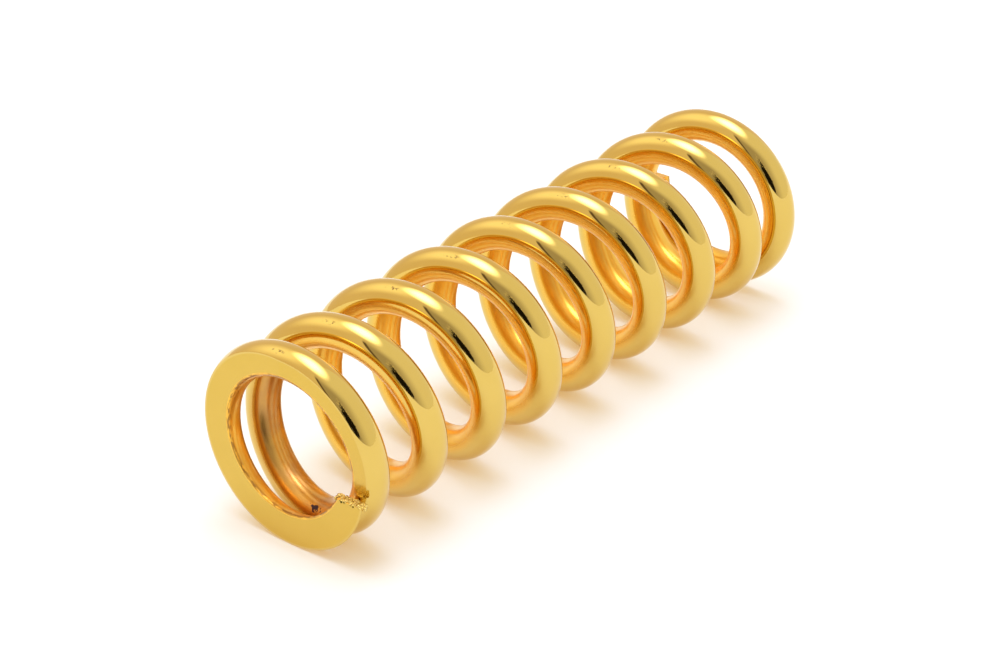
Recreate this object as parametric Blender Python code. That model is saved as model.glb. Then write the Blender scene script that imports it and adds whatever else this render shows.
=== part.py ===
"""A compression spring of thick round wire, lying on its side along the X axis.

The wire is wound right-handed. Each end is a closed coil with a face ground flat, and between them are
seven open turns. Every open turn is four quarter arcs, because the spring shortens as its turns slide
towards the front end: each arc slides along the spring's axis, on the piece before it.
"""

import math

import bmesh
import bpy
from mathutils import Matrix, Vector

MM = 0.001

WIRE_DIAMETER = 7.0 * MM
MEAN_COIL_DIAMETER = 35.0 * MM  # from wire centre to wire centre
OPEN_LEAD = 17.5 * MM  # rise in each turn, where the coil is open
END_LEAD = 5.25 * MM  # rise in each turn, beside a wire tip
OPENING_STARTS = 0.43  # turns from the start of the lead to where it begins to grow
OPENING_TURNS = 0.9  # turns that it takes to reach the open lead
START_THICKNESS = 3.15 * MM  # what grinding leaves of the wire where the lead starts
TIP_TUCK = 0.9 * MM  # how far the front tip leans out, to clear the turn behind it
TUCK_STARTS = 0.1  # turns from the start of the lead
OPEN_TURNS = 7
ARC_GAP = 0.3 * MM  # between the end faces of neighbouring pieces

# Angles run along the wire, in degrees: 0 is +Y, 90 is the top, and each turn adds 360.
FRONT_TIP = 200.0
FRONT_LEAD_STARTS = 227.5  # the front tip runs on past the start of its lead
REAR_TIP = 3600.0
TIP_SLANT = 20.0  # the front tip is cut level, where a cut square to the coil would slope
FIRST_ARC_STARTS = 652.5
ARC_ANGLE = 90.0
BEND_STEP = 15.0  # one straight facet of the bent wire
SQUARE_STEP = 0.9 * MM  # the level step that sets an end face square to the coil

SECTION_SIDES = 8  # what a bevel resolution of 2 gives
QUARTERS = ("low_left", "top_left", "top_right", "low_right")
GOLD = (0.80, 0.50, 0.11, 1.0)

WIRE_RADIUS = WIRE_DIAMETER / 2
COIL_RADIUS = MEAN_COIL_DIAMETER / 2
AXIS_HEIGHT = COIL_RADIUS + WIRE_RADIUS

# The faceted wire has the round wire's area, so that it weighs the same, and its bends straddle the circle.
SIDE_ANGLE = 2 * math.pi / SECTION_SIDES
SECTION_RADIUS = WIRE_RADIUS * math.sqrt(SIDE_ANGLE / math.sin(SIDE_ANGLE))
FACET_COIL_RADIUS = COIL_RADIUS / math.sqrt(math.cos(math.radians(BEND_STEP / 2)))


TUCK_TURNS = TUCK_STARTS + (FRONT_LEAD_STARTS - FRONT_TIP) / 360


def distance_from_face(turns):
    """How far the wire's centre is from the nearer ground face, so many turns from the lead's start."""
    share = min(max((turns - OPENING_STARTS) / OPENING_TURNS, 0), 1)
    beyond = max(turns - OPENING_STARTS - OPENING_TURNS, 0)
    opened = OPENING_TURNS * (share**3 - share**4 / 2) + beyond
    tucked = TIP_TUCK * (max(TUCK_STARTS - turns, 0) / TUCK_TURNS) ** 2
    at_start = START_THICKNESS - WIRE_RADIUS
    return at_start - tucked + END_LEAD * turns + (OPEN_LEAD - END_LEAD) * opened


TOTAL_TURNS = (REAR_TIP - FRONT_LEAD_STARTS) / 360
FREE_LENGTH = 2 * distance_from_face(TOTAL_TURNS / 2)


def wire_centre(angle):
    """The centre of the wire at this angle along it."""
    turns = (angle - FRONT_LEAD_STARTS) / 360
    if turns < TOTAL_TURNS / 2:
        x = distance_from_face(turns) - FREE_LENGTH / 2
    else:
        x = FREE_LENGTH / 2 - distance_from_face(TOTAL_TURNS - turns)
    a = math.radians(angle)
    return Vector((x, FACET_COIL_RADIUS * math.cos(a), AXIS_HEIGHT + FACET_COIL_RADIUS * math.sin(a)))


def along_coil(angle):
    """The direction round the coil at this angle, square to the spring's axis."""
    a = math.radians(angle)
    return Vector((0, -math.sin(a), math.cos(a)))


def square_end(angle, towards):
    """Two points that end a piece at this angle: its end face is square to the coil, half a gap short."""
    end = wire_centre(angle) + towards * along_coil(angle) * ARC_GAP / 2
    return end, end + towards * along_coil(angle) * SQUARE_STEP


def bend_angles(start, end):
    """The angles of the bends between a piece's ends, one facet apart and level with those of other turns."""
    first = math.floor(start / BEND_STEP) * BEND_STEP + BEND_STEP / 2
    count = int((end - start) // BEND_STEP) + 2
    angles = [first + i * BEND_STEP for i in range(count)]
    margin = BEND_STEP / 3
    return [a for a in angles if start + margin < a < end - margin]


def wire_path(start, end):
    """The points that a piece of wire follows. Its tips are plain, and its other ends are square."""
    points = [wire_centre(a) for a in bend_angles(start, end)]
    if start == FRONT_TIP:
        points.insert(0, wire_centre(start))
    else:
        points[:0] = square_end(start, 1)
    if end == REAR_TIP:
        points.append(wire_centre(end))
    else:
        points += reversed(square_end(end, -1))
    return points


def plating(name):
    """Bright gold-coloured plating for one piece."""
    material = bpy.data.materials.new(name + "_plating")
    material.use_nodes = True
    shader = material.node_tree.nodes["Principled BSDF"]
    shader.inputs["Base Color"].default_value = GOLD
    shader.inputs["Metallic"].default_value = 1.0
    shader.inputs["Roughness"].default_value = 0.12
    material.diffuse_color = GOLD
    return material


def bend_wire(name, start, end):
    """A piece of wire between two angles, with its origin on the spring's axis level with its first end."""
    path = wire_path(start, end)
    origin = Vector((path[0].x, 0, AXIS_HEIGHT))
    curve = bpy.data.curves.new(name, "CURVE")
    curve.dimensions = "3D"
    curve.bevel_depth = SECTION_RADIUS
    curve.bevel_resolution = 2
    curve.use_fill_caps = True
    curve.twist_mode = "MINIMUM"
    spline = curve.splines.new("POLY")
    spline.points.add(len(path) - 1)
    for point, place in zip(spline.points, path):
        point.co = (place - origin).to_4d()
    piece = bpy.data.objects.new(name, curve)
    piece.location = origin
    spring_parts.objects.link(piece)
    curve.materials.append(plating(name))
    return piece


def hang_on(piece, carrier):
    """The piece moves with the one before it, and stays where it is."""
    piece.parent = carrier
    piece.location -= carrier.matrix_world.translation


def to_mesh(piece):
    """The curve as a closed mesh that can be cut, in the curve's place."""
    name = piece.name
    evaluated = piece.evaluated_get(bpy.context.evaluated_depsgraph_get())
    mesh = bpy.data.meshes.new_from_object(evaluated)
    welded = bmesh.new()
    welded.from_mesh(mesh)
    bmesh.ops.remove_doubles(welded, verts=welded.verts, dist=0.001 * MM)
    welded.to_mesh(mesh)
    welded.free()
    solid = bpy.data.objects.new(name, mesh)
    spring_parts.objects.link(solid)
    solid.matrix_world = piece.matrix_world.copy()
    bpy.data.objects.remove(piece)
    solid.name = name
    return solid


def slant_tip(piece):
    """Slants the front tip's end face, so that its cut is level. The cut leans by the radius, out to in."""
    tip = wire_centre(FRONT_TIP)
    along = along_coil(FRONT_TIP)
    outwards = Vector((0, tip.y, tip.z - AXIS_HEIGHT)).normalized()
    for vertex in piece.data.vertices:
        from_tip = piece.matrix_world @ vertex.co - tip
        if from_tip.length < WIRE_DIAMETER and abs(from_tip.dot(along)) < ARC_GAP:
            vertex.co -= along * from_tip.dot(outwards) * math.tan(math.radians(TIP_SLANT))


def grind(piece, face_x, outwards):
    """Cuts away all of the piece beyond the plane at face_x, as a grinding wheel does."""
    width = 3 * AXIS_HEIGHT
    depth = 2 * WIRE_DIAMETER
    bpy.ops.mesh.primitive_cube_add(size=1)
    wheel = bpy.context.object
    wheel.name = piece.name + "_grinding"
    wheel.data.transform(Matrix.Diagonal((depth, width, width, 1)))
    wheel.location = (face_x + outwards * depth / 2, 0, AXIS_HEIGHT)
    wheel.hide_render = True
    wheel.display_type = "WIRE"
    for collection in wheel.users_collection:
        collection.objects.unlink(wheel)
    cutters.objects.link(wheel)
    cut = piece.modifiers.new("ground_face", "BOOLEAN")
    cut.operation = "DIFFERENCE"
    cut.solver = "EXACT"
    cut.object = wheel


for leftover in list(bpy.data.objects):
    bpy.data.objects.remove(leftover)
spring_parts = bpy.data.collections.new("coil_spring")
cutters = bpy.data.collections.new("cutters")
bpy.context.scene.collection.children.link(spring_parts)
bpy.context.scene.collection.children.link(cutters)

front_end = bend_wire("front_end_coil", FRONT_TIP, FIRST_ARC_STARTS)
bpy.context.view_layer.update()
front_end = to_mesh(front_end)
slant_tip(front_end)
grind(front_end, -FREE_LENGTH / 2, -1)

arc_starts = FIRST_ARC_STARTS
pieces = [front_end]
for turn in range(1, OPEN_TURNS + 1):
    for quarter in QUARTERS:
        pieces.append(bend_wire(f"coil_{turn}_{quarter}", arc_starts, arc_starts + ARC_ANGLE))
        arc_starts += ARC_ANGLE

rear_end = bend_wire("rear_end_coil", arc_starts, REAR_TIP)
bpy.context.view_layer.update()
rear_end = to_mesh(rear_end)
grind(rear_end, FREE_LENGTH / 2, 1)
pieces.append(rear_end)

bpy.context.view_layer.update()
for carrier, piece in zip(pieces, pieces[1:]):
    hang_on(piece, carrier)
    bpy.context.view_layer.update()
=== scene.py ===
"""The looks of a gold-plated compression spring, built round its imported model. Metres, +Z up."""

import math

import bpy
import numpy as np
from mathutils import Matrix, Vector


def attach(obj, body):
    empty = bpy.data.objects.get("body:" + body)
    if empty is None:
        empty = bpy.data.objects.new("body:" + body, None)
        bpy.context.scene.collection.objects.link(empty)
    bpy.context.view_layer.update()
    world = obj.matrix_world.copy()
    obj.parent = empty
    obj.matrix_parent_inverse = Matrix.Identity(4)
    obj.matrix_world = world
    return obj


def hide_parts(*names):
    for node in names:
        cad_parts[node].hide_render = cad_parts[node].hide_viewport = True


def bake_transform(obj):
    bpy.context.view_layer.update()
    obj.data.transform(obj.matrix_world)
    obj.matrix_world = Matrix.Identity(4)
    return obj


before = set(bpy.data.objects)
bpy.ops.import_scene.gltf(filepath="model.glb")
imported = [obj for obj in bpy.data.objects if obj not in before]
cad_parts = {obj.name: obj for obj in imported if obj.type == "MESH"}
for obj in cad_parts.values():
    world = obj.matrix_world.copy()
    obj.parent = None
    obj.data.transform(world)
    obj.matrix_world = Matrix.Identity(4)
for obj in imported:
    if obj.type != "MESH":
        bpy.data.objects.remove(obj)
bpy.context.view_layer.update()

# ---- The view ----
# A camera with a long lens stands half a metre off the front ground end, a little above the spring, and
# looks along it from the right.
MM = 0.001
WIRE_RADIUS = 3.5 * MM
COIL_RADIUS = 17.5 * MM
AXIS_HEIGHT = COIL_RADIUS + WIRE_RADIUS
VIEW_AZIMUTH = math.radians(39.65)
VIEW_ELEVATION = math.radians(27.82)
VIEW_ROLL = -0.0184  # radians
VIEW_DISTANCE = 0.5249
VIEW_SHIFT = (-0.0214, -0.0245)
LENS_LENGTH = 91.63  # millimetres, like the sensor's width
SENSOR_WIDTH = 36


def add_camera():
    """Looks at the middle of the spring's axis, from the azimuth and elevation of the view."""
    back = Vector((
        -math.cos(VIEW_AZIMUTH) * math.cos(VIEW_ELEVATION),
        -math.sin(VIEW_AZIMUTH) * math.cos(VIEW_ELEVATION),
        math.sin(VIEW_ELEVATION),
    ))
    right = (-back).cross(Vector((0, 0, 1))).normalized()
    up = back.cross(right)
    turned_right = right * math.cos(VIEW_ROLL) + up * math.sin(VIEW_ROLL)
    turned_up = up * math.cos(VIEW_ROLL) - right * math.sin(VIEW_ROLL)
    camera = bpy.data.objects.new("camera", bpy.data.cameras.new("camera"))
    camera.data.lens = LENS_LENGTH
    camera.data.sensor_width = SENSOR_WIDTH
    camera.data.shift_x, camera.data.shift_y = VIEW_SHIFT
    axes = Matrix((turned_right, turned_up, back)).transposed().to_4x4()
    camera.matrix_world = Matrix.Translation(Vector((0, 0, AXIS_HEIGHT)) + back * VIEW_DISTANCE) @ axes
    bpy.context.scene.collection.objects.link(camera)
    bpy.context.scene.camera = camera


add_camera()

# ---- The front end coil ----
# The first turn of the wire is wound close to the second and ground flat across the end of the spring.
# It is round spring wire, polished and plated bright gold after grinding.
OPEN_LEAD = 17.5 * MM  # how far one open turn runs along the axis
END_LEAD = 5.25 * MM  # the same in a closed end
OPENING_STARTS = 0.43  # turns from the start of the lead
OPENING_TURNS = 0.9  # turns over which the lead opens
START_THICKNESS = 3.15 * MM  # what grinding leaves of the wire where the lead starts
TIP_TUCK = 0.9 * MM  # how far the tip leans out, to clear the turn behind it
TUCK_STARTS = 0.1  # turns from the start of the lead
FRONT_TIP = 200.0  # degrees along the wire: 0 is +Y, 90 is the top, and each turn adds 360
FRONT_LEAD_STARTS = 227.5
REAR_TIP = 3600.0
FIRST_BEND_STARTS = 607.5
BEND_ANGLE = 90.0
BENDS = 29

RING_STEP = 1.5  # degrees of wire between rings of points
FLAT_POINTS = 17  # points across the ground face
BACK_POINTS = 47  # points round the rest of the wire
EVEN_HALF = math.pi * FLAT_POINTS / (FLAT_POINTS + BACK_POINTS)
EDGE_ROUND = 0.03  # how far grinding and polishing round the ground face's edges, in wire radii
EDGE_SHARE = 0.3  # and at most this share of the flat's half arc
EDGE_INSET = 0.35  # how far in the middle of that round lies, as a share of it, and down, as a share of that
NO_FLAT = math.radians(2)  # a flat with a smaller half arc is left round
SEAM_RUN = 40.0  # degrees over which the points even out before the first bend
TOTAL_TURNS = (REAR_TIP - FRONT_LEAD_STARTS) / 360
CUT_DEPTH = COIL_RADIUS * math.sin(math.radians(FRONT_TIP - 180))  # below the axis
LEAN_RUN = 30.0  # degrees over which the level cut dies out along the wire
RUN_OUT_HALF = math.radians(31)  # half the arc that the wheel takes off the wire past the flat face
RUN_OUT_ENDS = (348.0, 354.0)  # degrees from the tip over which it stops, short of the tip's own cut
SCUFFS = {0: 1.0, -1: 1.0, -2: 0.7, -3: 0.25}  # at the section's points by the ground face's inner edge


def distance_from_face(turns):
    """The wire centre's distance from the nearer ground face: a straight lead, a quartic that opens it, and
    a square-law tuck before the lead starts."""
    share = np.clip((turns - OPENING_STARTS) / OPENING_TURNS, 0, 1)
    beyond = np.maximum(turns - OPENING_STARTS - OPENING_TURNS, 0)
    opened = OPENING_TURNS * (share**3 - share**4 / 2) + beyond
    tuck_turns = TUCK_STARTS + (FRONT_LEAD_STARTS - FRONT_TIP) / 360
    tucked = TIP_TUCK * (np.maximum(TUCK_STARTS - turns, 0) / tuck_turns) ** 2
    return START_THICKNESS - WIRE_RADIUS - tucked + END_LEAD * turns + (OPEN_LEAD - END_LEAD) * opened


FACE_X = float(distance_from_face(np.array(TOTAL_TURNS / 2)))


def wire_centre(angles):
    """Points of the wire's centre: a circle of the coil's radius, square to X, that the lead draws out."""
    turns = (angles - FRONT_LEAD_STARTS) / 360
    front = distance_from_face(turns) - FACE_X
    rear = FACE_X - distance_from_face(TOTAL_TURNS - turns)
    a = np.radians(angles)
    x = np.where(turns < TOTAL_TURNS / 2, front, rear)
    return np.stack([x, COIL_RADIUS * np.cos(a), AXIS_HEIGHT + COIL_RADIUS * np.sin(a)], -1)


def wire_frame(angles):
    """At each angle, three directions: out of the coil, sideways to the next turn, and along the wire."""
    a = np.radians(angles)
    out = np.stack([np.zeros_like(a), np.cos(a), np.sin(a)], -1)
    along = wire_centre(angles + 0.05) - wire_centre(angles - 0.05)
    along /= np.linalg.norm(along, axis=-1, keepdims=True)
    return out, np.cross(along, out), along


def round_section(rings):
    """The round wire's section, in wire radii: points at even angles, the first of them facing the front."""
    turned = EVEN_HALF * np.linspace(-1, 1, FLAT_POINTS)
    rest = np.linspace(EVEN_HALF, 2 * math.pi - EVEN_HALF, BACK_POINTS + 2)[1:-1]
    turned = np.tile(np.concatenate([turned, rest]), (rings, 1))
    return np.sin(turned), np.cos(turned), np.sin(turned), np.cos(turned)


def ground_section(depth, from_seam):
    """The section with one side ground off, in wire radii: a chord that lies depth from the wire's centre,
    a small round at each end of it, and the arc that is left. Each is (across, towards the face), as points
    and as normals. Where the grinding runs out, the chord's points close up, and then spread out again."""
    half = np.arccos(np.clip(depth, -1, 1))[:, None]
    even = np.clip(1 - from_seam / SEAM_RUN, 0, 1)[:, None]
    edge = np.minimum(EDGE_ROUND, EDGE_SHARE * half)
    spread = np.maximum(half, NO_FLAT) * (1 - even) + EVEN_HALF * even
    rest = np.linspace(0, 1, BACK_POINTS)
    back = spread + edge + rest * (2 * math.pi - 2 * spread - 2 * edge)
    ground = half > NO_FLAT
    t = np.linspace(-1, 1, FLAT_POINTS)
    across = np.where(ground, t * (np.sin(half) - edge), np.sin(t * spread))
    towards = np.where(ground, np.cos(half), np.minimum(np.cos(t * spread), depth[:, None]))
    across_normal = np.where(ground, 0 * t, np.sin(t * spread))
    towards_normal = np.where(ground, 0 * t + 1, np.cos(t * spread))
    # the outermost point at each end of the chord is the middle of its round
    on, arc_end = ground[:, 0], half[:, 0]
    inset = EDGE_INSET * edge[:, 0]
    for end, sign in ((0, -1), (-1, 1)):
        across[:, end] = np.where(on, sign * (np.sin(arc_end) - inset), across[:, end])
        towards[:, end] = np.where(on, np.cos(arc_end) - EDGE_INSET * inset, towards[:, end])
        across_normal[:, end] = np.where(on, sign * np.sin(arc_end / 2), across_normal[:, end])
        towards_normal[:, end] = np.where(on, np.cos(arc_end / 2), towards_normal[:, end])
    fronts = (across, towards, across_normal, towards_normal)
    backs = (np.sin(back), np.cos(back), np.sin(back), np.cos(back))
    return [np.concatenate(both, 1) for both in zip(fronts, backs)]


def wire_surface(angles, face):
    """A stretch of wire, one row to a ring: the section carried along the wire's centre. Next to the front
    tip the rings lean, so that the last one lies level. Returns the points, their normals, their places on
    the wire if it were unwound, which of them lie on the ground face, and how scuffed they are."""
    if face:
        centre_x = wire_centre(angles)[:, 0]
        to_plane = (FACE_X - face * centre_x) / WIRE_RADIUS
        from_tip = np.where(face < 0, angles - FRONT_TIP, REAR_TIP - angles)
        stopping = np.clip((from_tip - RUN_OUT_ENDS[0]) / (RUN_OUT_ENDS[1] - RUN_OUT_ENDS[0]), 0, 1)
        run_out = np.cos(RUN_OUT_HALF * (1 - stopping))
        in_plane = (to_plane < run_out)[:, None]
        depth = np.minimum(to_plane, run_out)
        seam = FIRST_BEND_STARTS if face < 0 else FIRST_BEND_STARTS + BENDS * BEND_ANGLE
        section = ground_section(depth, np.abs(angles - seam))
    else:
        section = round_section(len(angles))
    across, towards, across_normal, towards_normal = section
    level = 180 + np.degrees(np.arcsin(CUT_DEPTH / (COIL_RADIUS + WIRE_RADIUS * across)))
    lean = np.clip(1 - (angles - FRONT_TIP) / LEAN_RUN, 0, 1)[:, None]
    leaning = angles[:, None] + (level - FRONT_TIP) * lean
    out, side, _ = wire_frame(leaning)
    facing = np.sign(side[..., :1]) * (face if face else -1)
    offset = across[..., None] * out + towards[..., None] * facing * side
    points = wire_centre(leaning) + WIRE_RADIUS * offset
    normals = across_normal[..., None] * out + towards_normal[..., None] * facing * side
    flat = np.zeros(across.shape, bool)
    scuffed = np.zeros(across.shape)
    if face:
        flat = (towards_normal == 1) & (across_normal == 0)
        points[..., 0] = np.where(flat & in_plane, face * FACE_X, points[..., 0])
        points[..., 0] = np.clip(points[..., 0], -FACE_X, FACE_X)
        normals = np.where((flat & in_plane)[..., None], np.array([face, 0.0, 0.0]), normals)
        for column, share in SCUFFS.items():
            scuffed[:, column] = share * flat.any(axis=1)
    normals /= np.linalg.norm(normals, axis=-1, keepdims=True)
    unwound = np.stack([np.radians(leaning) * COIL_RADIUS, across * WIRE_RADIUS, towards * WIRE_RADIUS], -1)
    return points, normals, unwound, flat, scuffed


def wire_piece(name, start, end, face=0):
    """A closed stretch of wire between two angles: rings of points joined by four-sided faces, and a flat
    cap at each end. Its normals are the wire's own, so that neighbours reflect as one. Face is the side, -1
    or 1 along X, that is ground, and 0 for none."""
    angles = np.linspace(start, end, int(round((end - start) / RING_STEP)) + 1)
    points, normals, unwound, flat, scuffed = wire_surface(angles, face)
    rings, around = points.shape[:2]
    index = np.arange(rings * around).reshape(rings, around)
    ahead = np.roll(index, -1, axis=1)
    quads = np.stack([index[:-1], ahead[:-1], ahead[1:], index[1:]], -1).reshape(-1, 4)
    faces = quads.tolist() + [index[0][::-1].tolist(), index[-1].tolist()]
    p, n = points.reshape(-1, 3), normals.reshape(-1, 3)
    a, b, _, d = quads[len(quads) // 2]
    inside_out = np.cross(p[b] - p[a], p[d] - p[a]) @ n[a] < 0
    if inside_out:
        faces = [f[::-1] for f in faces]
    mesh = bpy.data.meshes.new(name)
    mesh.from_pydata(p.tolist(), [], faces)
    place = mesh.attributes.new("unwound", "FLOAT_VECTOR", "POINT")
    place.data.foreach_set("vector", unwound.astype(np.float32).ravel())
    edge = mesh.attributes.new("scuffed", "FLOAT", "POINT")
    edge.data.foreach_set("value", scuffed.astype(np.float32).ravel())
    mesh.materials.append(plating)
    if face:
        mesh.materials.append(ground_plating)
        on_flat = flat.ravel()
        mesh.polygons.foreach_set("material_index", [int(on_flat[f].all()) for f in faces])
    mesh.shade_smooth()
    corners = np.empty(len(mesh.loops), int)
    mesh.loops.foreach_get("vertex_index", corners)
    corner_normals = n[corners]
    _, _, along = wire_frame(angles[[0, -1]])
    corner_normals[-2 * around:-around] = -along[0]
    corner_normals[-around:] = along[1]
    mesh.normals_split_custom_set(corner_normals.tolist())
    piece = bpy.data.objects.new(name, mesh)
    bpy.context.scene.collection.objects.link(piece)
    return piece


def add_node(tree, kind, inputs=(), **settings):
    """A node in a material's or group's tree, with its settings, and its inputs as values or links."""
    made = tree.nodes.new(kind)
    for key, value in settings.items():
        setattr(made, key, value)
    for key, value in dict(inputs).items():
        if isinstance(value, bpy.types.NodeSocket):
            tree.links.new(value, made.inputs[key])
        else:
            made.inputs[key].default_value = value
    return made


def new_group(name, inputs, outputs):
    """An empty shader node group with these sockets, and its input and output nodes."""
    tree = bpy.data.node_groups.new(name, "ShaderNodeTree")
    for direction, sockets in (("INPUT", inputs), ("OUTPUT", outputs)):
        for socket, kind in sockets:
            tree.interface.new_socket(name=socket, in_out=direction, socket_type="NodeSocket" + kind)
    return tree, tree.nodes.new("NodeGroupInput"), tree.nodes.new("NodeGroupOutput")


def noise(tree, place, scale, detail):
    """A soft random pattern between 0 and 1."""
    texture = add_node(tree, "ShaderNodeTexNoise", {"Vector": place, "Scale": scale, "Detail": detail})
    return texture.outputs["Fac"]


def stretched(tree, place, factors):
    """Coordinates squeezed by these factors, so that a pattern on them is drawn out where they are small."""
    return add_node(tree, "ShaderNodeVectorMath", {0: place, 1: factors}, operation="MULTIPLY").outputs[0]


CLOUD_SCALE = 140.0  # how many waves of a pattern there are to a metre, here and below
MARK_SCALE = 2600.0
MARK_DEPTH = 0.004 * MM


def plating_wear():
    """Group: what handling and tools leave in the plating. Tone is a slow cloudiness, and Marks are fine
    lines that follow whatever way the Marked coordinates are stretched; both run from 0 to 1."""
    takes = [("Place", "Vector"), ("Marked", "Vector"), ("Depth", "Float")]
    gives = [("Tone", "Float"), ("Marks", "Float"), ("Normal", "Vector")]
    tree, given, result = new_group("plating_wear", takes, gives)
    tone = noise(tree, given.outputs["Place"], CLOUD_SCALE, 4.0)
    marks = noise(tree, given.outputs["Marked"], MARK_SCALE, 3.0)
    raised = add_node(tree, "ShaderNodeBump",
                      {"Height": marks, "Strength": given.outputs["Depth"], "Distance": MARK_DEPTH})
    tree.links.new(tone, result.inputs["Tone"])
    tree.links.new(marks, result.inputs["Marks"])
    tree.links.new(raised.outputs["Normal"], result.inputs["Normal"])
    return tree


WIRE_MARK_STRENGTH = 0.01
WHEEL_MARK_STRENGTH = 0.012
CRUMB_MARK_STRENGTH = 0.5


def worn_by(tree, wear, place, marked, strength):
    """The wear at a place: its tone, its marks, and the normal that they give the surface."""
    worn = add_node(tree, "ShaderNodeGroup", {"Place": place, "Marked": marked, "Depth": strength},
                    node_tree=wear)
    return worn.outputs["Tone"], worn.outputs["Marks"], worn.outputs["Normal"]


def gold(material_name):
    """A metal material with this name, its node tree and its shader."""
    material = bpy.data.materials.new(material_name)
    material.use_nodes = True
    shader = material.node_tree.nodes["Principled BSDF"]
    shader.inputs["Metallic"].default_value = 1.0
    shader.inputs["Coat Weight"].default_value = 0.3  # clear lacquer that keeps the plating bright
    shader.inputs["Coat Roughness"].default_value = 0.1
    return material, material.node_tree, shader


def blended(tree, share, under, over):
    """Under where share is 0 and over where it is 1, as colours."""
    mix = add_node(tree, "ShaderNodeMix", {"Factor": share}, data_type="RGBA")
    for socket, colour in (("A", under), ("B", over)):
        if isinstance(colour, bpy.types.NodeSocket):
            tree.links.new(colour, mix.inputs[socket])
        else:
            mix.inputs[socket].default_value = (*colour, 1)
    return mix.outputs["Result"]


def smooth(tree, value, start, end, low=0.0, high=1.0):
    """Low at start and high at end, with a smooth step between."""
    limits = {"From Min": start, "From Max": end, "To Min": low, "To Max": high}
    return add_node(tree, "ShaderNodeMapRange", {"Value": value, **limits},
                    interpolation_type="SMOOTHSTEP").outputs["Result"]


def sums(tree, operation, *values):
    """The result of one step of arithmetic on these values or links."""
    return add_node(tree, "ShaderNodeMath", dict(enumerate(values)), operation=operation).outputs[0]


def off_middle(tree, value, middle, half):
    """How far a value is from the middle of a range, in halves of the range."""
    return sums(tree, "DIVIDE", sums(tree, "SUBTRACT", value, middle), half)


def off_oval(tree, one_way, other_way):
    """How far out a place is from an oval's centre, from its offsets both ways: 1 on the oval's rim."""
    squares = [sums(tree, "POWER", offset, 2.0) for offset in (one_way, other_way)]
    return sums(tree, "SQRT", sums(tree, "ADD", *squares))


def along_wire(angle):
    """The unwound length at an angle in degrees."""
    return math.radians(angle) * COIL_RADIUS


OUTER_GOLD = (0.685, 0.472, 0.102), (0.74, 0.52, 0.126)  # from cloud to cloud
# painted reflection: the inside of the coil gets a redder, brighter gold for the gold turns that it reflects
INNER_GOLD_AND_PAINTED_REFLECTION = (0.84, 0.475, 0.052), (0.94, 0.56, 0.085)
# painted shade: the darker, browner gold inside where the first turn runs into the second
PAINTED_SHADE_GOLD = (0.56, 0.29, 0.075)
SCUFFED_GOLD = (0.4, 0.19, 0.035)
MARK_BROWN = (0.22, 0.12, 0.03)
RESIDUE_BLACK = (0.03, 0.012, 0.035)
FINE_SCALE = 1500.0
PAINTED_SHADE_ANGLES = (570, 610, 730, 790)  # the angles over which painted shade deepens inside the coil, and fades again
TOOL_MARK_ANGLE = 88.0
TOOL_MARK_FRONT = 1.95 * MM  # how far from the wire's middle line it lies, towards the front
RESIDUE_ANGLE = 621.0
RESIDUE_FRONT = 2.55 * MM
RESIDUE_HALVES = (1.7 * MM, 0.5 * MM)  # along the wire and across it


def painted_inner_shade(tree, length, tone):
    """How deep the painted shade is inside the coil, darker and browner where the first turn runs into the
    second: in clouds.
    """
    starts, thinnest, wanes, ends = map(along_wire, PAINTED_SHADE_ANGLES)
    shaded = sums(tree, "MULTIPLY", smooth(tree, length, starts, thinnest), smooth(tree, length, ends, wanes))
    return sums(tree, "MULTIPLY", shaded, smooth(tree, tone, 0.3, 0.6, 0.55, 1.0))


def tool_marks(tree, length, outward, frontward, fine):
    """Where the winding tool has marked the wire: a speckled line at the top of each turn, on its outside."""
    turn_length = 2 * math.pi * COIL_RADIUS
    past_mark = sums(tree, "SUBTRACT", sums(tree, "MODULO", length, turn_length),
                     turn_length * TOOL_MARK_ANGLE / 360)
    by_mark = smooth(tree, sums(tree, "ABSOLUTE", past_mark), 1.9 * MM, 0.2 * MM)
    off_mark = sums(tree, "ABSOLUTE", sums(tree, "SUBTRACT", frontward, TOOL_MARK_FRONT))
    on_mark = smooth(tree, off_mark, 0.5 * MM, 0.1 * MM)
    outside = sums(tree, "GREATER_THAN", outward, 0.0)
    return sums(tree, "MULTIPLY", sums(tree, "MULTIPLY", by_mark, on_mark),
                sums(tree, "MULTIPLY", outside, smooth(tree, fine, 0.54, 0.62)))


def bath_residue(tree, length, outward, frontward, fine):
    """Where the plating bath has left its residue: a ragged oval on the inside of the wire."""
    from_residue = off_oval(tree, off_middle(tree, length, along_wire(RESIDUE_ANGLE), RESIDUE_HALVES[0]),
                            off_middle(tree, frontward, RESIDUE_FRONT, RESIDUE_HALVES[1]))
    ragged = sums(tree, "ADD", from_residue, sums(tree, "MULTIPLY", sums(tree, "SUBTRACT", fine, 0.5), 3.0))
    inside = sums(tree, "LESS_THAN", outward, -1.0 * MM)
    return sums(tree, "MULTIPLY", smooth(tree, ragged, 1.05, 0.75), inside)


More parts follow.
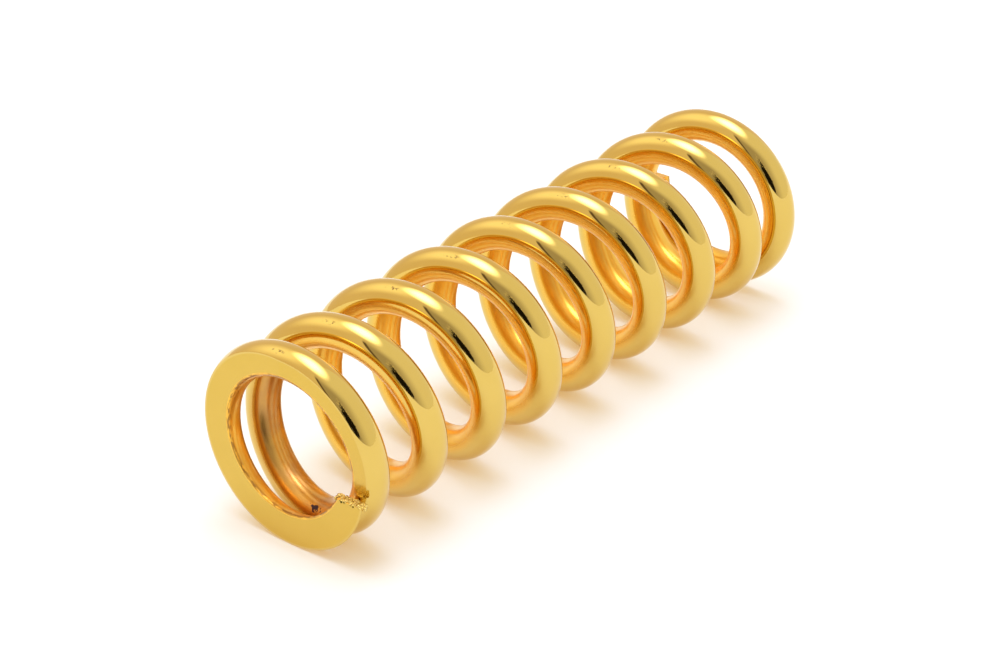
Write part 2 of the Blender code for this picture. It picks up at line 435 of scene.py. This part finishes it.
def plated_wire(wear):
    """Bright gold plating on drawn wire: buffed to a mirror outside, where it is paler, and left softer
    inside the coil, where its colour is painted redder and brighter, a painted reflection of the gold turns
    that face it; with marks of the drawing die along it. Each turn has a tool mark at its top, the ground
    face's inner edge is scuffed, painted shade darkens the inside where the first turn runs into the second,
    and a dark residue of the plating bath is left where the first turn closes on the second."""
    material, tree, shader = gold("plated_wire")
    unwound = add_node(tree, "ShaderNodeAttribute", attribute_name="unwound").outputs["Vector"]
    drawn = stretched(tree, unwound, (0.03, 1, 1))
    length, outward, frontward = add_node(tree, "ShaderNodeSeparateXYZ", {0: unwound}).outputs
    tone, marks, normal = worn_by(tree, wear, unwound, drawn, WIRE_MARK_STRENGTH)
    border = sums(tree, "ADD", outward, sums(tree, "MULTIPLY", tone, 0.8 * MM))
    inside = smooth(tree, border, 0.5 * WIRE_RADIUS, -0.25 * WIRE_RADIUS)

    # painted shade darkens the inside colour where the first turn runs into the second
    inner = blended(tree, painted_inner_shade(tree, length, tone), blended(tree, tone, *INNER_GOLD_AND_PAINTED_REFLECTION), PAINTED_SHADE_GOLD)
    # painted reflection: inside the coil the colour turns to the redder, brighter gold of the facing turns
    colour = blended(tree, inside, blended(tree, tone, *OUTER_GOLD), inner)
    outer_rough = smooth(tree, marks, 0.35, 0.7, 0.02, 0.05)
    inner_rough = smooth(tree, marks, 0.35, 0.65, 0.28, 0.31)
    rough = sums(tree, "ADD", sums(tree, "MULTIPLY", outer_rough, sums(tree, "SUBTRACT", 1.0, inside)),
                 sums(tree, "MULTIPLY", inner_rough, inside))

    edge = add_node(tree, "ShaderNodeAttribute", attribute_name="scuffed").outputs["Fac"]
    rags = noise(tree, stretched(tree, unwound, (0.22, 1, 1)), 2400.0, 2.0)
    colour = blended(tree, sums(tree, "MULTIPLY", edge, smooth(tree, rags, 0.42, 0.56)), colour, SCUFFED_GOLD)
    fine = noise(tree, unwound, FINE_SCALE, 2.0)
    colour = blended(tree, tool_marks(tree, length, outward, frontward, fine), colour, MARK_BROWN)
    residue = bath_residue(tree, length, outward, frontward, fine)
    colour = blended(tree, residue, colour, RESIDUE_BLACK)
    rough = sums(tree, "MAXIMUM", rough, sums(tree, "MULTIPLY", residue, 0.45))
    tree.links.new(colour, shader.inputs["Base Color"])
    tree.links.new(rough, shader.inputs["Roughness"])
    tree.links.new(normal, shader.inputs["Normal"])
    return material


GROUND_GOLD = (0.65, 0.428, 0.058), (0.72, 0.472, 0.078)
WHEEL_ANGLE = math.radians(35)  # the way that the wheel's marks lie on the ground face


def ground_end(wear):
    """The same plating over a ground face: a fine satin, with the wheel's marks as faint parallel lines."""
    material, tree, shader = gold("ground_end")
    place = add_node(tree, "ShaderNodeTexCoord").outputs["Object"]
    laid = add_node(tree, "ShaderNodeVectorRotate", {"Vector": place, "Angle": WHEEL_ANGLE},
                    rotation_type="X_AXIS").outputs[0]
    lines = stretched(tree, laid, (1, 0.05, 1))
    tone, marks, normal = worn_by(tree, wear, place, lines, WHEEL_MARK_STRENGTH)
    tree.links.new(blended(tree, tone, *GROUND_GOLD), shader.inputs["Base Color"])
    tree.links.new(smooth(tree, marks, 0.3, 0.7, 0.2, 0.23), shader.inputs["Roughness"])
    tree.links.new(normal, shader.inputs["Normal"])
    return material


wear = plating_wear()
plating = plated_wire(wear)
ground_plating = ground_end(wear)
front_end = wire_piece("front_end", FRONT_TIP, FIRST_BEND_STARTS, face=-1)
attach(front_end, "front_end_coil")
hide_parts("front_end_coil")

# ---- The broken edge of the front tip ----
# Grinding leaves the wire's tip thin, and its level cut end is ragged: a row of small crumbs of metal stands
# along it, all one piece with the wire and plated with it.
CRUMBS = 190
CRUMB_ROWS, CRUMB_COLUMNS = 9, 12
CRUMBS_INWARD, CRUMBS_OUTWARD = 0.93, 0.88  # how far they reach from the wire's centre, in wire radii
CRUMBS_NEAREST, CRUMBS_DEPTH = 0.22, 1.4  # millimetres back from the ground face, and on from there
CRUMB_RISE = (-0.05, 0.36)  # millimetres above the cut
CRUMB_SIZE = (0.17, 0.38)  # millimetres
WAVES = 3
WAVE_SPREAD = 2.2
WAVE_HEIGHT = 0.16  # of a crumb's radius
WAVE_PHASE = 6.28  # radians, a full turn within a thousandth
SQUARING = -0.45


def crumbly_edge():
    """Small lumps scattered over the cut end. Each is a sphere whose radius is 1 plus three low sine waves in
    random directions, times a negative power of its direction's largest coordinate, which squares it off.
    None stands out past the plane of the ground face."""
    chance = np.random.default_rng(5)
    inner = math.sqrt((COIL_RADIUS - CRUMBS_INWARD * WIRE_RADIUS) ** 2 - CUT_DEPTH**2)
    outer = math.sqrt((COIL_RADIUS + CRUMBS_OUTWARD * WIRE_RADIUS) ** 2 - CUT_DEPTH**2)
    across = chance.uniform(0, 1, CRUMBS)
    deep = chance.uniform(0, 1, CRUMBS)
    centre = np.stack([
        -FACE_X + (CRUMBS_NEAREST + deep * CRUMBS_DEPTH) * MM,
        -(inner + across * (outer - inner)),
        AXIS_HEIGHT - CUT_DEPTH + chance.uniform(*CRUMB_RISE, CRUMBS) * MM,
    ], -1)
    size = chance.uniform(*CRUMB_SIZE, CRUMBS) * MM
    polar = np.linspace(0, math.pi, CRUMB_ROWS)[1:-1, None]
    turned = np.arange(CRUMB_COLUMNS) * (2 * math.pi / CRUMB_COLUMNS)
    ring = np.stack([np.sin(polar) * np.cos(turned), np.sin(polar) * np.sin(turned),
                     np.cos(polar) + 0 * turned], -1).reshape(-1, 3)
    sphere = np.concatenate([ring, [[0, 0, 1], [0, 0, -1]]])
    waves = chance.normal(size=(CRUMBS, WAVES, 3)) * WAVE_SPREAD
    phase = chance.uniform(0, WAVE_PHASE, (CRUMBS, WAVES, 1))
    swell = 1 + WAVE_HEIGHT * np.sin(waves @ sphere.T + phase).sum(1)
    square = np.abs(sphere).max(-1) ** SQUARING
    lumps = centre[:, None] + sphere * (size[:, None] * swell * square)[..., None]
    lumps[..., 0] = np.maximum(lumps[..., 0], -FACE_X)
    rows, columns = CRUMB_ROWS - 2, CRUMB_COLUMNS
    index = np.arange(rows * columns).reshape(rows, columns)
    ahead = np.roll(index, -1, axis=1)
    quads = np.stack([index[:-1], index[1:], ahead[1:], ahead[:-1]], -1).reshape(-1, 4).tolist()
    north = [[rows * columns, a, b] for a, b in zip(index[0].tolist(), ahead[0].tolist())]
    south = [[rows * columns + 1, b, a] for a, b in zip(index[-1].tolist(), ahead[-1].tolist())]
    one = quads + north + south
    points = sphere.shape[0]
    faces = [[v + k * points for v in face] for k in range(CRUMBS) for face in one]
    mesh = bpy.data.meshes.new("tip_crumbs")
    mesh.from_pydata(lumps.reshape(-1, 3).tolist(), [], faces)
    mesh.shade_smooth()
    piece = bpy.data.objects.new("tip_crumbs", mesh)
    bpy.context.scene.collection.objects.link(piece)
    return piece


# painted light: the grains are painted brighter than the gold for their glints, and the cracks darker for the
# shade in them
GLINTING_GRAIN_GOLD = (0.95, 0.64, 0.06), (1.0, 0.84, 0.3)
CRACK_SHADE_BROWN = (0.35, 0.15, 0.02)
GRAIN_SCALE = 2300.0


def broken_gold_with_painted_light(wear):
    """Plating on torn metal: grains given painted glints, brighter than the plating, with painted shade in
    the cracks between them.
    """
    material, tree, shader = gold("broken_gold_with_painted_light")
    place = add_node(tree, "ShaderNodeTexCoord").outputs["Object"]
    shader.inputs["Metallic"].default_value = 0.6
    _, marks, normal = worn_by(tree, wear, place, place, CRUMB_MARK_STRENGTH)
    cells = add_node(tree, "ShaderNodeTexVoronoi", {"Vector": place, "Scale": GRAIN_SCALE},
                     feature="DISTANCE_TO_EDGE")
    # painted shade in the cracks, and painted glints on the grains
    crack_shade = smooth(tree, cells.outputs["Distance"], 0.12, 0.02)
    glinting_grain = blended(tree, marks, *GLINTING_GRAIN_GOLD)
    tree.links.new(blended(tree, crack_shade, glinting_grain, CRACK_SHADE_BROWN), shader.inputs["Base Color"])
    tree.links.new(smooth(tree, marks, 0.3, 0.7, 0.2, 0.45), shader.inputs["Roughness"])
    tree.links.new(normal, shader.inputs["Normal"])
    return material


tip_crumbs = crumbly_edge()
tip_crumbs.data.materials.append(broken_gold_with_painted_light(wear))
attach(tip_crumbs, "front_end_coil")

# ---- The open turns ----
# Seven open turns of the same wire. They are made in quarter bends, each of which gives where two arcs of
# the coil meet, so that the turns close up evenly when the spring is squeezed.
arcs = ["front_end_coil"]
arcs += [f"coil_{turn}_{quarter}" for turn in range(1, 8)
         for quarter in ("low_left", "top_left", "top_right", "low_right")]
arcs += ["rear_end_coil"]
SIDES = ("bottom", "left", "top", "right")

for number in range(BENDS):
    start = FIRST_BEND_STARTS + number * BEND_ANGLE
    bend = wire_piece(f"turn_{number // 4 + 1}_{SIDES[number % 4]}", start, start + BEND_ANGLE)
    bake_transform(bend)
    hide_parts(arcs[number], arcs[number + 1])

# ---- The rear end coil ----
# The last turn of the same plated wire. It is wound close and ground flat across like the first, and its tip
# is cut square.
rear_end = wire_piece("rear_end", FIRST_BEND_STARTS + BENDS * BEND_ANGLE, REAR_TIP, face=1)
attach(rear_end, "rear_end_coil")
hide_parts("rear_end_coil")

# ---- The studio ----
# The spring lies on a white table under a large softbox. The walls are white, and warm to the left and
# behind. In front, past the table's edge, is the unlit side of the room, with the camera and its stand.
TABLE_EDGE_AZIMUTH = math.radians(210)
TABLE_EDGE_DISTANCE = 0.33
TABLE_SIZE = 3.0
TABLE_WHITE = (0.49, 0.675, 0.77, 1)
TABLE_PAINTED_GLOW = (0.49, 0.26, 0.09, 1)  # painted light: a warm glow that the table gives out everywhere, even in its shadows, for light bounced off the gold


def white_table():
    """A matt white table top with a painted warm glow: one square whose front edge is square to the edge's
    azimuth.
    """
    mesh = bpy.data.meshes.new("table")
    towards = np.array([math.cos(TABLE_EDGE_AZIMUTH), math.sin(TABLE_EDGE_AZIMUTH), 0])
    sideways = np.array([-towards[1], towards[0], 0])
    corners = [towards * (TABLE_EDGE_DISTANCE - back * TABLE_SIZE) + sideways * side * TABLE_SIZE / 2
               for back, side in ((0, -1), (0, 1), (1, 1), (1, -1))]
    mesh.from_pydata([list(c) for c in corners], [], [(0, 1, 2, 3)])
    table = bpy.data.objects.new("table", mesh)
    material = bpy.data.materials.new("white_table")
    material.use_nodes = True
    shader = material.node_tree.nodes["Principled BSDF"]
    shader.inputs["Base Color"].default_value = TABLE_WHITE
    shader.inputs["Emission Color"].default_value = TABLE_PAINTED_GLOW
    shader.inputs["Emission Strength"].default_value = 1.0
    shader.inputs["Roughness"].default_value = 0.9
    shader.inputs["Specular IOR Level"].default_value = 0.0
    mesh.materials.append(material)
    bpy.context.scene.collection.objects.link(table)


WHITE_WALLS = (1.02, 1.0, 0.96)
WARM_WALLS = (0.95, 0.8, 0.68)
UNLIT_WALLS = (0.5, 0.46, 0.45)
STAND_AZIMUTH = 5.5  # degrees, counted like all of these from -X towards -Y
STAND_BROWN = (0.16, 0.12, 0.09)


def painted_walls(tree, azimuth, elevation):
    """The room's walls: warm on one side, fading round to white, with the unlit side and the stand."""
    warm_side = sums(tree, "SUBTRACT", 1.0, smooth(tree, azimuth, -30.0, 60.0))
    walls = blended(tree, warm_side, WHITE_WALLS, WARM_WALLS)
    left_edge = smooth(tree, azimuth, 2.0, 7.0)
    right_fade = smooth(tree, azimuth, 98.0, 30.0)
    top_fade = smooth(tree, elevation, 62.0, 34.0)
    unlit = sums(tree, "MULTIPLY", sums(tree, "MULTIPLY", left_edge, right_fade), top_fade)
    walls = blended(tree, unlit, walls, UNLIT_WALLS)
    beside = sums(tree, "ABSOLUTE", sums(tree, "SUBTRACT", azimuth, STAND_AZIMUTH))
    stand = sums(tree, "MULTIPLY", smooth(tree, beside, 3.5, 1.5), smooth(tree, elevation, 50.0, 40.0))
    return blended(tree, stand, walls, STAND_BROWN)


CAMERA_AZIMUTH, CAMERA_ELEVATION = 33.0, 10.0  # degrees
CAMERA_HALVES = (18.5, 18.0)  # degrees to each side, at the table's height, and up or down
CAMERA_TAPER = 0.45  # how much each degree of elevation narrows it
CAMERA_BLACK = (0.012, 0.01, 0.008)
FLECK_WHITE = (1.5, 1.35, 1.1)


def with_camera(tree, walls, direction, azimuth, elevation):
    """The dark camera before the walls: an oval that narrows upwards, with a wavering rim, and some bright
    flecks round it."""
    wobble = sums(tree, "SUBTRACT", noise(tree, direction, 20.0, 3.0), 0.5)
    half_width = sums(tree, "SUBTRACT", CAMERA_HALVES[0], sums(tree, "MULTIPLY", elevation, CAMERA_TAPER))
    from_camera = off_oval(tree, off_middle(tree, azimuth, CAMERA_AZIMUTH, half_width),
                           off_middle(tree, elevation, CAMERA_ELEVATION, CAMERA_HALVES[1]))
    from_camera = sums(tree, "ADD", from_camera, sums(tree, "MULTIPLY", wobble, 1.5))
    walls = blended(tree, smooth(tree, from_camera, 1.02, 0.9), walls, CAMERA_BLACK)
    rim = sums(tree, "MULTIPLY", smooth(tree, from_camera, 0.55, 0.85), smooth(tree, from_camera, 1.4, 1.1))
    flecks = sums(tree, "MULTIPLY", smooth(tree, noise(tree, direction, 55.0, 1.0), 0.56, 0.62), rim)
    flecks = sums(tree, "MULTIPLY", flecks, smooth(tree, elevation, 11.0, 17.0))
    return blended(tree, flecks, walls, FLECK_WHITE)


BACK_LIGHT_WAY = tuple(Vector((-0.2, 0.55, 0.8)).normalized())
BACK_LIGHT = (1.5, 1.42, 1.3)
SOFTBOX_AZIMUTH = math.radians(20)  # from +X towards +Y
SOFTBOX_WAYS = (  # lengthwise and sideways
    (math.cos(SOFTBOX_AZIMUTH), math.sin(SOFTBOX_AZIMUTH), 0),
    (-math.sin(SOFTBOX_AZIMUTH), math.cos(SOFTBOX_AZIMUTH), 0),
)
SOFTBOX_MIDDLE = (0.06, 0.05)  # the parts of a sight line of length 1 that lie along those ways
SOFTBOX_HALVES = (0.52, 0.34)
SOFTBOX_LIGHT = (5.6, 5.6, 6.8)


def along_way(tree, direction, way):
    """How much of the direction lies along a way."""
    product = add_node(tree, "ShaderNodeVectorMath", {0: direction, 1: way}, operation="DOT_PRODUCT")
    return product.outputs["Value"]


def with_lights(tree, walls, direction, above):
    """The lights before the walls: a soft round one high behind the spring, and the softbox's oval glow."""
    from_back = sums(tree, "DEGREES", sums(tree, "ARCCOSINE", along_way(tree, direction, BACK_LIGHT_WAY)))
    walls = blended(tree, smooth(tree, from_back, 42.0, 8.0), walls, BACK_LIGHT)
    offsets = [off_middle(tree, along_way(tree, direction, way), middle, half)
               for way, middle, half in zip(SOFTBOX_WAYS, SOFTBOX_MIDDLE, SOFTBOX_HALVES)]
    glow = sums(tree, "MULTIPLY", smooth(tree, off_oval(tree, *offsets), 1.2, 0.2),
                sums(tree, "GREATER_THAN", above, 0.0))
    return blended(tree, glow, walls, SOFTBOX_LIGHT)


SEEN_WHITE = (1.2, 1.2, 1.2, 1)


def studio_walls():
    """The room as light from each direction. What the camera sees past the table is plain white."""
    world = bpy.data.worlds.new("studio")
    world.use_nodes = True
    tree = world.node_tree
    tree.nodes.clear()
    direction = add_node(tree, "ShaderNodeTexCoord").outputs["Generated"]
    x, y, z = add_node(tree, "ShaderNodeSeparateXYZ", {0: direction}).outputs
    # azimuth is counted from -X towards -Y, so that its jump lies behind the spring
    front, right = sums(tree, "MULTIPLY", x, -1.0), sums(tree, "MULTIPLY", y, -1.0)
    azimuth = sums(tree, "DEGREES", sums(tree, "ARCTAN2", right, front))
    elevation = sums(tree, "DEGREES", sums(tree, "ARCSINE", z))
    walls = painted_walls(tree, azimuth, elevation)
    walls = with_camera(tree, walls, direction, azimuth, elevation)
    walls = with_lights(tree, walls, direction, z)

    room = add_node(tree, "ShaderNodeBackground", {"Color": walls}).outputs[0]
    white = add_node(tree, "ShaderNodeBackground", {"Color": SEEN_WHITE}).outputs[0]
    seen = add_node(tree, "ShaderNodeLightPath").outputs["Is Camera Ray"]
    shown = add_node(tree, "ShaderNodeMixShader", {"Fac": seen, 1: room, 2: white}).outputs[0]
    add_node(tree, "ShaderNodeOutputWorld", {"Surface": shown})
    bpy.context.scene.world = world


white_table()
studio_walls()
bpy.context.scene.view_settings.view_transform = "Standard"
